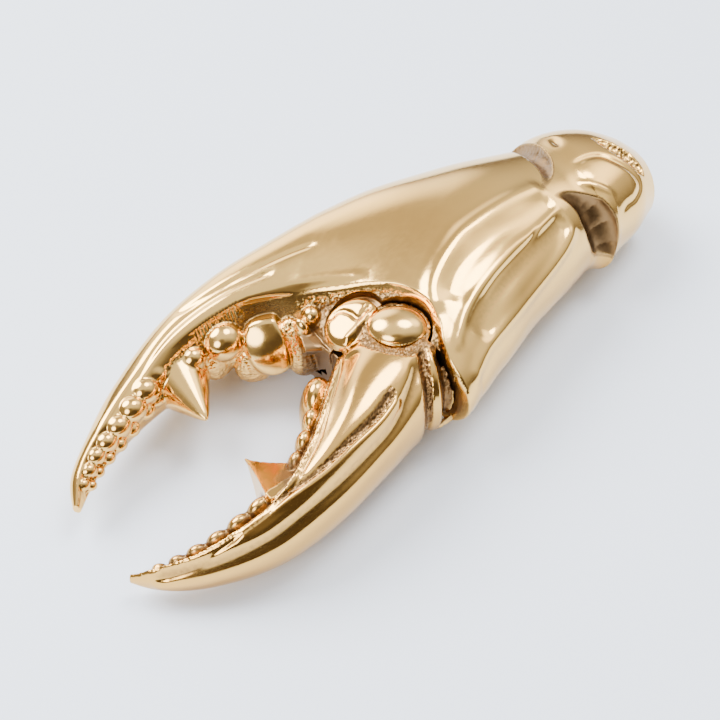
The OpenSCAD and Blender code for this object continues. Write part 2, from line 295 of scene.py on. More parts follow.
def hashed(cell, seed):
    """Pseudo-random 0..1 for each integer cell."""
    n = (cell[:, 0] * 73856093) ^ (cell[:, 1] * 19349663) ^ (cell[:, 2] * 83492791) ^ (seed * 2654435)
    n = (n ^ (n >> 13)) * 1274126177 & 0x7FFFFFFF
    return ((n ^ (n >> 16)) & 0xFFFF) / 65535.0


def pits(points, pitch, seed=1):
    """Hammered texture: 1 in the middle of each pit and 0 on the ridges between pits."""
    q = points / pitch
    cell = np.floor(q).astype(np.int64)
    nearest2 = np.full(len(q), 9.0)
    for dx in (-1, 0, 1):
        for dy in (-1, 0, 1):
            for dz in (-1, 0, 1):
                c = cell + np.array([dx, dy, dz])
                spot = c + 0.15 + 0.7 * np.stack([hashed(c, seed + i) for i in range(3)], 1)
                nearest2 = np.minimum(nearest2, ((q - spot)**2).sum(1))
    return 1 - np.minimum(np.sqrt(nearest2) / 0.75, 1)


def stipple(d, points, mask, depth, pitch=0.95, seed=1):
    """Punches pits into the form where the mask is above 0."""
    on = (mask > 0.02) & (np.abs(d) < 3)
    out = d.copy()
    out[on] += depth * mask[on] * pits(points[on], pitch, seed)
    return out


# ---------------------------------------------------------------- claw: palm, wrist and fixed finger

palm = Loft(PALM)
fixed_finger = Loft(FIXED_FINGER)
wrist = Loft(WRIST, flat_end="last")
finger = Loft(FINGER, flat_end="first")

# Rim of the mouth recess, along the fixed finger and round the knuckle to the spur
RECESS_EDGE = Curve([
    (-74, 4, 9), (-71, 8.4, 12), (-65.9, 12.4, 14.9), (-55.3, 16.2, 19.1), (-44.6, 19.2, 21.9),
    (-36.5, 21.2, 23.1), (-28.9, 21.8, 24.3), (-19.9, 21.1, 25.5), (-13.5, 18.8, 25.8),
    (-6.5, 14.8, 27.3), (-0.6, 11.1, 28.5), (7.8, 4.4, 30.7), (12.2, -0.8, 30.9), (14, -6.9, 30.5),
    (13.2, -12.6, 28.9), (11.2, -16.6, 27.1), (10, -20.6, 25.6), (9.9, -24.6, 22.9), (10.6, -29.3, 17.9)])
# Height of the recess floor along X
FLOOR_X = [-74, -63, -50, -35, -19, -10, -4, 14]
FLOOR_Z = [8, 11.2, 14.6, 17.8, 20.5, 21, 20, 20]
# Depth of the recess below the plain form along X, which rules round the knuckle
DEPTH_X = [-20, -12, -6, 14]
DEPTH = [9, 7, 3, 2]
# How heavily the recess is punched with pits, along X
CHASED_X = [-36, -32, -19, -9, -5]
CHASED = [0.6, 0.2, 0, 0, 1]
# Front edge of the palm beside the finger's root, ending in the spur
SPUR_EDGE = [
    (1, 4.5), (5.5, 2.6), (9.6, -0.8), (11.8, -5.8), (11.9, -11), (11, -15.2), (9.6, -19.5), (9.3, -24),
    (10.2, -28.6), (10.4, -34), (10.4, -40)]

SPUR_STEPS = 6
SPUR_LINE = catmull(SPUR_EDGE, SPUR_STEPS)

# Ridges and grooves of the palm: points, width, height
PALM_STROKES = [
    ([(60.9, 5.7, 32.7), (49.7, 5.5, 34.1), (36.9, 4.1, 34.1), (29.4, 2.1, 34.2), (18.3, -3.8, 32.2),
      (13.2, -11.1, 29.4)], 2.2, 0.75),
    ([(61, 1.3, 31.6), (49.9, -0.6, 32.4), (38.5, -1.6, 33.2), (26, -5.2, 32.4),
      (18, -11, 30)], 2.8, -0.65),
    ([(61.1, -0.9, 30.6), (50, -4.4, 31), (40, -6.3, 31.1), (23.9, -12.1, 30), (15.4, -17.4, 27.4),
      (12.2, -20.8, 25.1)], 1.3, 0.6),
    ([(52, -3.2, 31), (44, -7, 30.5), (33, -10.2, 30), (25, -14, 29)], 0.7, -0.3),
    ([(61, -3.2, 29.3), (51, -7, 29.2), (41.1, -9.4, 28.9), (27.5, -14.6, 28.2),
      (19, -20, 25.4)], 3.2, -0.95),
    ([(62.3, -5, 27.4), (55.1, -9.6, 25), (39.7, -15, 23.2), (23.2, -21, 23.6), (16.5, -24, 22),
      (12.4, -27.2, 19.4)], 1.7, 0.85)]
# Crease and flute on the outer side of the fixed finger
FINGER_STROKES = [
    ([(-34, 28, 24), (-26.7, 27.3, 26.8), (-16.1, 26.2, 28.7), (-4.3, 24.5, 30.9),
      (4, 22.5, 32)], 0.8, -0.35),
    ([(-66, 10.6, 14.4), (-58, 15.2, 17.8), (-47.5, 20.4, 21), (-35.4, 25, 24.6), (-21.8, 25.4, 27.6),
      (-8, 22.4, 29.8)], 0.9, -0.5),
    ([(-64, 14, 15.6), (-54, 18.4, 19.4), (-44, 21.6, 22.4), (-34, 23.2, 24.2), (-22, 23, 26.2),
      (-9, 18.6, 28), (0, 13.6, 29.6), (8, 7.2, 31.4)], 1.4, 0.35)]
# Scooped crescents between the palm's rim and the wrist: points and radii of the scoop
NEAR_SCOOP = (
    [(60.6, 1.6, 33), (64.6, 0.2, 31.8), (68.2, -3.4, 29.2), (70, -8.2, 24.6), (70.6, -11.3, 18.4),
     (69.6, -12.6, 12), (66, -13, 7)],
    [0.4, 2.6, 4.7, 5.2, 4.6, 3, 0.8])
FAR_SCOOP = (
    [(60.4, 5, 33.6), (64, 7.8, 33.6), (66.8, 12.6, 33), (68.4, 18.6, 31.6), (69.4, 24, 28),
     (70, 28, 23), (69, 30.5, 16)],
    [0.5, 1.8, 3, 3.4, 3, 2.4, 0.6])
# Creases of the wrist
WRIST_STROKES = [
    ([(72.4, 8.1, 31.5), (77.4, 8.3, 31.5), (81.7, 7.2, 30.8), (84.8, 3.8, 29.6), (87.4, 0.5, 27.2),
      (88.2, -2.3, 24.3), (84.8, -4.6, 23.3), (81.1, -5.6, 23.6), (77.3, -6.9, 23.2)], 0.9, -0.5),
    ([(69.4, 3.6, 30.8), (72.9, 1.3, 30), (75.7, -1.5, 28.8), (78.4, -3.8, 26.4)], 1, 0.45),
    ([(74.6, 15.6, 31.4), (76.4, 18.4, 30.8), (77.4, 21.6, 29.6)], 0.9, -0.8)]
WRIST_SLOT = (
    [(85.6, 14.6, 31.4), (88, 9.4, 31), (90.6, 4, 29), (92.6, -0.8, 25.6), (92.6, -3.4, 22.6)],
    [0.8, 2.6, 3.1, 2.4, 0.6])

# Rounded nodules on the fixed finger: centre, size, turn about Z
NODULES = [
    ([-25.8, 19.6, 18.8], [5.3, 5, 4.8], 20), ([-34.4, 19.4, 18], [3.1, 3, 3.2], 0),
    ([-6.2, 11, 22.2], [2.5, 2.6, 2.8], 0), ([-9.8, 10.4, 17.5], [2.2, 3.4, 6.5], 15)]
# Rough metal under and between the nodules
FILLS = [
    ([-8.4, 10.8, 12.5], [5.5, 4.6, 8.5], 0), ([-17.5, 16.8, 11.5], [8, 4.6, 8], 10),
    ([-27, 20.4, 13.4], [5.6, 3.4, 6.8], 25), ([-11.5, 12.8, 17.4], [3, 3, 5.5], 20)]
BIG_NODULE = ([-16, 14.4, 16.4], [6.8, 7.4, 8.6], -15)
BIG_NODULE_FACES = [([-0.42, -0.72, 0.55], 4.5), ([-0.05, 0.05, 0.99], 7), ([0.7, -0.6, 0.4], 4.9)]
FACE_RADIUS = 16
# Two rows of beads: x, y, z, radius
BEADS = [
    (-43.9, 20.4, 18, 2.5), (-48.2, 18.2, 17, 3), (-52.9, 15.9, 16, 2.9), (-57.5, 14.4, 14.7, 2.6),
    (-61.5, 13, 13.4, 2.3), (-65.1, 11.8, 12.2, 2), (-68, 10.1, 11, 1.7), (-70.6, 8.2, 9.8, 1.4),
    (-46.2, 17.6, 13.2, 1.9), (-49.8, 16.1, 12.9, 2), (-54.9, 13.7, 12.4, 1.8), (-59, 12.1, 11.5, 1.6),
    (-62.6, 10.9, 10.5, 1.4), (-66.1, 9.4, 9.6, 1.2), (-69, 7.6, 8.8, 1.1)]
CONE = ([-38.4, 21.5, 12.6], [-40, 4.7, 14.5], 8.4)


def unit(v):
    """The direction of a vector."""
    v = np.array(v, float)
    return v / np.linalg.norm(v)


def from_root(points, base, tip):
    """Axis and length of a tooth, and each point's offset from its base and height along it."""
    base, tip = np.array(base, float), np.array(tip, float)
    length = np.linalg.norm(tip - base)
    axis = (tip - base) / length
    off = points - base
    return axis, length, off, off @ axis


def horn(points, base, tip, radius):
    """Smooth pointed tooth with slightly bulging flanks."""
    axis, length, off, t = from_root(points, base, tip)
    r = np.linalg.norm(off - t[:, None] * axis, axis=1)
    s = np.clip(t / length, 0, 1)
    width = radius * (1 - s)**0.8 * (1 - 0.18 * s) + 0.35
    return np.maximum((r - width) * 0.9, np.maximum(t - length, -2 - t))


def recess(d, points):
    """Cuts the stippled recess that runs down the mouth side of the fixed finger and round the knuckle."""
    x, _, z = points.T
    u, spot, step = RECESS_EDGE.plan_foot(points)
    off = points - spot
    stride = np.linalg.norm(step[:, :2], axis=1)
    beyond = np.maximum((step[:, 0] * off[:, 0] + step[:, 1] * off[:, 1]) / stride, 0)
    inward = -leftward(step, off) - np.where(u >= len(RECESS_EDGE.points) - 1, 0.8 * beyond, 0)
    rim_z = spot[:, 2]
    along = RECESS_EDGE.distance(u)
    floor = np.interp(x, FLOOR_X, FLOOR_Z)
    wall = inward - 0.55 * np.maximum(rim_z - z, 0)
    deep = d + np.interp(x, DEPTH_X, DEPTH)
    hatched = ramp(x, -33, -30) * ramp(-18 - x, 0, 3)
    comb = 0.1 * hatched * np.cos(along * 2 * math.pi / 0.8 + 1.7 * np.sin(along * 0.9))
    cut = np.minimum(wall * 0.88, np.minimum(z - floor, deep))
    near_wall = ramp(cut, -2.5, -0.2) * ramp(3 - cut, 0, 2)
    cut = cut - comb * near_wall
    chasing = np.interp(x, CHASED_X, CHASED)
    out = smax(d, cut, 0.5)
    out = stipple(out, points, chasing * ramp(inward, 0.35, 1.2) * ramp(cut, -1.2, -0.2), 0.36, 0.95, 5)
    under = (inward + 2 - 0.85 * (z - 3)) * 0.76
    return smax(out, np.where(x < -9, under, under - 3 * (x + 9)), 2.5)


def front_of_spur(points):
    """Positive in front of the palm's edge beside the finger's root."""
    _, spot, step = foot(SPUR_EDGE, SPUR_LINE, SPUR_STEPS, in_plan(points))
    return -leftward(step, points[:, :2] - spot)


def plain_claw(points):
    """The claw's form without strokes, recesses or teeth."""
    return smin(smin(palm(points), fixed_finger(points), 6), wrist(points), 3)


def claw_form(points):
    """Outer form of the palm, wrist and fixed finger."""
    d = plain_claw(points)
    for line, width, height in PALM_STROKES + FINGER_STROKES + WRIST_STROKES:
        d = stroke(d, points, Curve(line), width, height)
    web = smax(lug_plan(points), np.maximum(4 - points[:, 2], points[:, 2] - 21.5), 4)
    d = smin(d, stipple(web, points, np.ones(len(points)), 0.35, 1, 4), 1.5)
    near = points[:, 0] < 20
    if near.any():
        d[near] = recess(d[near], points[near])
        d[near] = smax(d[near], np.where(points[near, 1] < -24, front_of_spur(points[near]), -9), 0.5)
    for (line, radii), rough in ((NEAR_SCOOP, 0.02), (FAR_SCOOP, 0.1), (WRIST_SLOT, 0.3)):
        scoop = tube(points, line, radii)
        scoop = stipple(scoop, points, np.ones(len(points)) * (np.abs(scoop) < 2), -rough, 1.1, 9)
        d = smax(d, -scoop, 0.3)
    teeth = (points[:, 0] < 2) & (points[:, 1] > 2)
    if teeth.any():
        d[teeth] = add_teeth(d[teeth], points[teeth])
    return smax(d, -points[:, 2], 0.6)


def add_teeth(d, points):
    """Joins the fixed finger's nodules, beads and cone to the form."""
    for centre, size, turn in FILLS:
        lump = ellipsoid(points, centre, size, turn)
        d = smin(d, stipple(lump, points, np.ones(len(points)), 0.3, 0.9, 7), 0.8)
    for centre, size, turn in NODULES:
        d = smin(d, ellipsoid(points, centre, size, turn), 0.35)
    big = ellipsoid(points, *BIG_NODULE)
    for normal, reach in BIG_NODULE_FACES:
        hub = np.array(BIG_NODULE[0]) - unit(normal) * (FACE_RADIUS - reach)
        big = smax(big, np.linalg.norm(points - hub, axis=1) - FACE_RADIUS, 0.5)
    d = smin(d, big, 0.35)
    for x, y, z, r in BEADS:
        d = smin(d, ellipsoid(points, (x, y, z + 0.4), (r * 1.22, r * 1.12, r * 1.1)), 0.35)
    return smin(d, horn(points, *CONE), 0.7)


# ---------------------------------------------------------------- moving finger

EAR_R = 8.0
LUG_R = 10.0
LUG = (10.0, 20.0)
EAR_GAP = (9.2, 20.8)
STOP_ANGLE = math.radians(118)
STOP_ORBIT = 12.5
TANG_ORBIT = 6.0


def orbit(radius, angle):
    """Place in plan on a circle round the hinge."""
    return PIVOT + radius * np.array([math.cos(angle), math.sin(angle)])


STOP_PLACE = orbit(STOP_ORBIT, STOP_ANGLE)
SHOULDER = orbit(6.5, STOP_ANGLE)
NECK = np.array([14.0, -4.0])
BOSS = ([-1.6, 0.9, 24.6], [6.7, 6.4, 5])
BOSS_TILT = 0.34
BOSS_TOP = 27.3
BOSS_STROKES = [
    ([(-5.4, 4.6), (-3.6, 5.4), (-1.8, 4.7), (-0.8, 2.6), (-0.4, 0.3), (1.4, 0.4), (4, 1.3)], 0.7, -0.55),
    ([(2.6, 0), (0.2, -1.2), (-1.9, -1.6), (-3.7, -1.9), (-6.4, -2.2)], 0.7, 0.4),
    ([(0.6, -2.4), (-1.4, -2.9), (-4.2, -3.6), (-6.4, -3.9)], 0.7, -0.6)]
COLLAR_R = 9.6
COLLAR_Z = 27.4
CAP_R = 6.2
CAP_SEAT = (4.6, 25.4)
CAP_SEAT_R = CAP_R + 0.12
CAP_DOME = ((5.4, -7, 26.8), (7.1, 6, 3.8), -36)
# Bores: radius, low and high end
PIN_BORE = (3.0, 0, 60)
STOP_SLOT = (1.8, 6.6, 23.4)
TANG_SLOT = (0.75, 19, 23.4)
BUSH_BORE = (4.5, 9, 21)
SPRING_WELL = (7.1, 14.15, 21)
STOP_BORE = (1.5, 9, 21)
SCREW_BORE = (2.25, 1.2, 21.2)
DOWEL_BORE = (1.5, 10.5, 19.5)

INNER_RIDGE = [
    (-5.6, -0.6, 20), (-8.9, -3.2, 22.3), (-14.1, -8.9, 25), (-21.7, -15.7, 25.5), (-27.2, -20.3, 25.3),
    (-32.4, -23.3, 24), (-37.9, -26.1, 22.8), (-44, -27.4, 21), (-51.1, -27.1, 18.6),
    (-56.8, -26.2, 16.4), (-62.2, -24.4, 14), (-68, -20.9, 10.8), (-71.5, -18.2, 8.9)]
STREAK_PLAN = [(-7.2, -21.9), (-13.8, -24.6), (-21.8, -26.3), (-30.8, -27.9), (-39.7, -27.8), (-53.3, -27)]
OUTER_GROOVE = [
    (4.5, -17.2, 27), (-1.3, -21.6, 25.1), (-10.1, -27, 22.7), (-18.8, -29.6, 21.4),
    (-28.2, -31.5, 20.2), (-39.5, -32.9, 18.5), (-46.6, -31.9, 16.1), (-55.5, -29.9, 13.9),
    (-63.3, -26.2, 11.7), (-70.2, -20.7, 9.1)]
ROOT_GROOVE = [(5.8, -14.8), (4, -19), (1.8, -23.4), (0.2, -26.6), (-0.8, -31)]
ROOT_RIB = [(7.8, -16.2), (6.2, -20.6), (4.4, -25), (3.4, -27.8), (2.6, -31)]
ROOT_TRENCH = [(9.2, -16.2), (8.2, -20.2), (7.2, -23.4), (6.5, -26), (6.1, -28.4), (5.8, -32)]
SPIKE = ([-36.8, -24, 14], [-38.8, -9.6, 14], 9.6, 52)
LOBES = [
    ([-17.4, -7.2, 13], [6.2, 4.2, 10], 42), ([-23.6, -14.2, 19.2], [3.2, 2.4, 5], 42),
    ([-27.9, -17.8, 18.8], [3.2, 2.3, 4.6], 40), ([-32, -20.6, 18], [2.8, 2.2, 4.2], 34)]
OLIVE_FACET = [(-6.6, -6), (-9.6, -8.6), (-14, -12.6), (-20.5, -18.2), (-28, -22.4), (-36, -25.6)]
STREAK_RIDGE = [(-5.6, -23.4), (-12.6, -26.2), (-21.4, -28), (-30.6, -29.4), (-40, -29.2), (-53.3, -28.2)]
SCALLOPS = [
    (-44.2, -24.6, 16.4, 2.5, 3), (-49.4, -24.6, 14.8, 2.4, -2), (-54.6, -24.1, 13, 2.2, -10),
    (-59.4, -23.2, 11.4, 2, -18), (-63.6, -21.9, 10, 1.7, -28), (-67.4, -20.2, 8.6, 1.4, -36)]
# Ridges and grooves of the moving finger, in space and in plan: line, width, height
SPACE_MARKS = [(INNER_RIDGE, 0.8, 0.4), (OUTER_GROOVE, 1.9, -1.1)]
PLAN_MARKS = [
    (OLIVE_FACET, 2.1, -0.9), (STREAK_PLAN, 1, -0.45), (STREAK_RIDGE, 0.9, 0.5), (ROOT_GROOVE, 1, -1.3),
    (ROOT_RIB, 0.9, 0.6), (ROOT_TRENCH, 1.5, -1.8)]
# Floor of the band that carries the finger's teeth, along X
BAND_X = [-73, -67, -57, -45, -33, -20, -8]
BAND_Z = [4.5, 4.5, 4.5, 5, 5.5, 6, 6]


def beside_ridge(points):
    """How far each point is in plan to the mouth side of the inner ridge, and the ridge's height."""
    ridge = Curve(INNER_RIDGE)
    _, spot, step = ridge.plan_foot(points)
    return -leftward(step, points - spot), spot[:, 2]


def boss_field(points):
    """Low tilted dome beside the knuckle's cap."""
    tilted = points.copy()
    tilted[:, 2] -= BOSS_TILT * (points[:, 0] - BOSS[0][0])
    dome = smax(ellipsoid(tilted, *BOSS), tilted[:, 2] - BOSS_TOP, 1.6)
    for line, width, height in BOSS_STROKES:
        dome = plan_stroke(dome, points, line, width, height, 1.2)
    return smax(dome, BOSS[0][2] - 0.2 - tilted[:, 2], 0.3)


def pyramid(points, base, tip, size, roll):
    """Four-sided tooth with hollow faces and sharp edges."""
    axis, length, off, t = from_root(points, base, tip)
    u = unit(np.cross(axis, [0, 0, 1]))
    v = np.cross(axis, u)
    c, e = math.cos(math.radians(roll)), math.sin(math.radians(roll))
    a, b = np.abs(off @ (c * u + e * v)), np.abs(off @ (c * v - e * u))
    s = np.clip(t / length, 0, 1)
    width = size * (1 - s)**1.25 + 0.3
    return np.maximum((a + b - width) * 0.62, np.maximum(t - length, -2 - t))


def chased(points):
    """1 where the finger is punched with pits: the streak, the trenches and the collar at its root."""
    mask = np.zeros(len(points))
    for line, reach, narrowing in ((STREAK_PLAN, 1.3, 0.9), (ROOT_TRENCH, 2, 0), (ROOT_GROOVE, 1.5, 0)):
        curve = Curve([(x, y, 0) for x, y in line])
        close, gap, along = curve.near(points * FLATTEN, STREAK_REACH)
        edge = reach - narrowing * along / curve.length
        above = ramp(points[close, 2], 12, 16)
        within = ramp(edge - gap, 0, 0.6) * ramp(curve.length - along, 0, 3)
        mask[close] = np.maximum(mask[close], above * within)
    root = from_pivot(points)
    below_top = ramp(COLLAR_Z + 0.4 - points[:, 2], 0, 0.3)
    return np.maximum(mask, ramp(COLLAR_R - root, 0, 0.4) * below_top * ramp(points[:, 2], 25, 26))


def finger_form(points):
    """Outer form of the moving finger with its ears, boss and teeth, before the slot for the lug."""
    x, _, z = points.T
    d = finger(points)
    for line, width, height in SPACE_MARKS:
        d = stroke(d, points, Curve(line), width, height)
    for line, width, height in PLAN_MARKS:
        d = plan_stroke(d, points, line, width, height, 2.5)
    inward, rim_z = beside_ridge(points)
    d = d + 0.22 * np.exp(-((inward + 1.5) / 0.4)**2) * ramp(-x, 6, 12)
    band = np.minimum((inward - 0.3 * np.maximum(rim_z - z, 0)) * 0.92, z - np.interp(x, BAND_X, BAND_Z))
    d = smax(d, band, 0.4)
    mask = np.maximum(chased(points), 0.6 * ramp(band, -1, -0.2))
    root = from_pivot(points)
    ear = smax(root - EAR_R, np.maximum(3 - z, z - COLLAR_Z), 0.6)
    d = smax(d, 0.3 - front_of_spur(points), 0.25)
    d = smin(d, ear, 0.8)
    collar = np.minimum(COLLAR_R - root, z - COLLAR_Z)
    d = smax(d, collar, 0.7)
    mask = np.maximum(mask, ramp(collar, -0.9, -0.2) * ramp(z, 22, 24))
    d = stipple(d, points, mask, 0.3, 0.9, 3)
    d = smin(d, boss_field(points), 0.3)
    for centre, size, turn in LOBES:
        d = smin(d, ellipsoid(points, centre, size, turn), 0.5)
    for x0, y0, z0, r, turn in SCALLOPS:
        d = smin(d, ellipsoid(points, (x0, y0, z0), (r * 1.35, r * 0.85, r * 1.4), turn), 0.8)
    d = smin(d, pyramid(points, *SPIKE), 0.5)
    return smax(d, 1.2 - z, 0.6)


def turned(points, degrees):
    """The points turned about the hinge."""
    a = math.radians(degrees)
    c, s = math.cos(a), math.sin(a)
    off = points[:, :2] - PIVOT
    x = PIVOT[0] + c * off[:, 0] - s * off[:, 1]
    y = PIVOT[1] + s * off[:, 0] + c * off[:, 1]
    return np.column_stack([x, y, points[:, 2]])


def lug_plan(points):
    """Distance in plan to the palm's lug."""
    line = np.array([NECK, PIVOT, SHOULDER])
    _, _, gap2 = nearest(line, in_plan(points))
    return np.sqrt(gap2) - LUG_R


def swept_finger(points):
    """Space that the finger's root passes through over the joint's travel."""
    d = np.full(len(points), 9.0)
    root = from_pivot(points) - EAR_R
    for a in np.linspace(0, CLOSING, 5):
        q = turned(points, a)
        body = smax(finger(q), 0.3 - front_of_spur(q), 0.25)
        lobes = [ellipsoid(q, *lobe) for lobe in LOBES[:2]]
        d = np.minimum.reduce([d, body, root, boss_field(q)] + lobes)
    return d


def bored(d, points, place, bore):
    """The form with an upright hole through it."""
    radius, low, high = bore
    ends = np.maximum(low - points[:, 2], points[:, 2] - high)
    return np.maximum(d, -np.maximum(plan_distance(points, place) - radius, ends))


def finger_solid(points):
    """The moving finger with the slot for the lug, the cap seats and the bores."""
    d = finger_form(points)
    slot = np.full(len(points), 20.0)
    close = from_pivot(points) < 34
    q = points[close]
    sweep = np.minimum.reduce([lug_plan(turned(q, -a)) for a in np.linspace(0, CLOSING, 5)]) - GAP
    slot[close] = np.maximum(sweep, np.maximum(EAR_GAP[0] - q[:, 2], q[:, 2] - EAR_GAP[1]))
    d = smax(d, -slot, 0.3)
    d = bored(d, points, PIVOT, PIN_BORE)
    d = bored(d, points, PIVOT, (CAP_SEAT_R, CAP_SEAT[1], 60))
    d = bored(d, points, PIVOT, (CAP_SEAT_R, -5, CAP_SEAT[0]))
    for turn in np.radians(np.linspace(0, CLOSING, 4)):
        d = bored(d, points, orbit(STOP_ORBIT, STOP_ANGLE + turn), STOP_SLOT)
        d = bored(d, points, orbit(TANG_ORBIT, math.pi + turn), TANG_SLOT)
    return d


# Places of the screws and dowels, each in its own column of solid metal
SCREWS = [(24, 4), (36, 20), (56, 12)]
DOWELS = [(12, 26), (64, 11)]
COLUMN_R = 5.0
SCREW_HEAD = (4.2, 1.2, 3.6)
WALL = 3.2
WRIST_HOLLOW = ([81, 9.5, 15], [9, 13, 9.5])
# The palm's stations moved in by the wall, along the part that is hollow
hollow = Loft([
    [x, y, inner - WALL, outer - WALL, max(bottom, 0) + WALL, top - WALL, widest]
    for x, y, inner, outer, bottom, top, widest in PALM if 20 < x < 64])


def claw_solid(points):
    """Both half shells as one solid, with the lug, the hollow and the bores."""
    x, _, z = points.T
    d = claw_form(points)
    close = (from_pivot(points) < 42) & (x < 30)
    d[close] = smax(d[close], GAP - swept_finger(points[close]), 0.4)
    lug = np.maximum(lug_plan(points), np.maximum(LUG[0] - z, z - LUG[1]))
    d = np.minimum(d, lug)
    hole = np.minimum(hollow(points), ellipsoid(points, *WRIST_HOLLOW))
    for place in SCREWS + DOWELS:
        hole = np.maximum(hole, COLUMN_R - plan_distance(points, place))
    d = np.maximum(d, -hole)
    for place, bore in ((PIVOT, BUSH_BORE), (PIVOT, SPRING_WELL), (STOP_PLACE, STOP_BORE)):
        d = bored(d, points, place, bore)
    radius, low, high = SCREW_HEAD
    for place in SCREWS:
        d = bored(d, points, place, SCREW_BORE)
        cone = np.clip(radius - (z - low) * 0.9, 2.0, radius)
        d = np.maximum(d, -np.maximum(plan_distance(points, place) - cone, z - high))
    for place in DOWELS:
        d = bored(d, points, place, DOWEL_BORE)
    return d


def cap_solid(points):
    """Oval dome of the knuckle over the pivot pin."""
    z = points[:, 2]
    dome = smax(ellipsoid(points, *CAP_DOME), COLLAR_Z - 0.2 - z, 0.2)
    skirt = np.maximum(from_pivot(points) - CAP_R, np.maximum(CAP_SEAT[1] - z, z - COLLAR_Z - 0.2))
    return bored(smin(dome, skirt, 0.3), points, PIVOT, (PIN_BORE[0], 20, 27))


# ---------------------------------------------------------------- meshing

CORNERS = np.array([[i, j, k] for i in (0, 1) for j in (0, 1) for k in (0, 1)])


def mesh_field(field, low, high, h):
    """Vertices and quads of the field's zero surface, on a lattice of step h."""
    block = 5
    low = np.array(low, float)
    counts = np.ceil((np.array(high, float) - low) / (h * block)).astype(int)
    cells = np.stack(np.meshgrid(*[np.arange(n) for n in counts], indexing="ij"), -1).reshape(-1, 3)
    middle = low + (cells + 0.5) * block * h
    # The field is only worked out in blocks that the surface may pass through
    keep = np.abs(field(middle)) < block * h * 1.25 + 0.8
    cells = cells[keep] * block
    shape = counts * block + 1
    steps = np.stack(np.meshgrid(*[np.arange(block + 1)] * 3, indexing="ij"), -1).reshape(-1, 3)
    mask = np.zeros(shape, bool)
    for step in steps:
        mask[tuple((cells + step).T)] = True
    where = np.argwhere(mask)
    values = np.full(shape, np.nan, np.float32)
    for a in range(0, len(where), 400000):
        part = where[a:a + 400000]
        values[tuple(part.T)] = field(low + part * h)
    inside = values < 0
    m = np.array(shape) - 1

    def corner(array, c):
        return array[c[0]:c[0] + m[0], c[1]:c[1] + m[1], c[2]:c[2] + m[2]]

    count = sum(corner(inside, c).astype(np.uint8) for c in CORNERS)
    whole = np.logical_and.reduce([corner(mask, c) for c in CORNERS])
    active = np.argwhere((count > 0) & (count < 8) & whole)
    ids = np.full(m, -1, np.int64)
    ids[tuple(active.T)] = np.arange(len(active))
    at = np.stack([values[tuple((active + c).T)] for c in CORNERS], 1).astype(float)
    total = np.zeros((len(active), 3))
    hits = np.zeros(len(active))
    for a in range(8):
        for b in range(a + 1, 8):
            if np.abs(CORNERS[a] - CORNERS[b]).sum() != 1:
                continue
            cross = (at[:, a] < 0) != (at[:, b] < 0)
            t = at[cross, a] / (at[cross, a] - at[cross, b])
            total[cross] += CORNERS[a] + t[:, None] * (CORNERS[b] - CORNERS[a])
            hits[cross] += 1
    vertices = low + (active + total / hits[:, None]) * h
    quads = []
    for axis in range(3):
        others = [i for i in range(3) if i != axis]
        ahead = np.zeros(3, int)
        ahead[axis] = 1
        here = tuple(slice(0, shape[i] - ahead[i]) for i in range(3))
        there = tuple(slice(ahead[i], shape[i]) for i in range(3))
        lower, upper = inside[here], inside[there]
        both = mask[here] & mask[there]
        edge = np.argwhere((lower != upper) & both)
        edge = edge[np.all((edge[:, others] > 0) & (edge[:, others] < m[others]), axis=1)]
        u, v = np.zeros(3, int), np.zeros(3, int)
        u[others[0]], v[others[1]] = 1, 1
        around = (edge - u - v, edge - v, edge, edge - u)
        ring = np.stack([ids[tuple(cell.T)] for cell in around], 1)
        outward = lower[tuple(edge.T)]
        # About Y, the other two axes come in the opposite order
        if axis == 1:
            outward = ~outward
        ring = np.where(outward[:, None], ring, ring[:, ::-1])
        quads.append(ring[np.all(ring >= 0, axis=1)])
    return vertices, np.vstack(quads)


def slope(field, points, value, step=0.03):
    """Gradient of the field at the points, where it has the given value."""
    g = np.empty((len(points), 3))
    for i in range(3):
        e = np.zeros(3)
        e[i] = step
        g[:, i] = (field(points + e) - value) / step
    return g


def held(moves, most):
    """The moves, none of them longer than the given length."""
    length = np.linalg.norm(moves, axis=1)[:, None]
    return moves * np.minimum(1, most / np.maximum(length, 1e-9))


def settle(field, vertices, h, rounds):
    """Moves the vertices onto the zero surface and returns their normals too."""
    start = vertices.copy()
    for _ in range(rounds):
        value = field(vertices)
        g = slope(field, vertices, value)
        g2 = np.maximum((g**2).sum(1), 0.05)
        vertices = vertices + held(-(value / g2)[:, None] * g, 0.5 * h)
        vertices = start + held(vertices - start, 0.9 * h)
    g = slope(field, vertices, field(vertices))
    return vertices, g / np.maximum(np.linalg.norm(g, axis=1)[:, None], 1e-9)


def seam_height(x):
    """Height of the parting seam, which falls towards the fixed finger's tip."""
    return np.minimum(15.0, 4.0 + (x + 90) * 11.0 / 75.0)


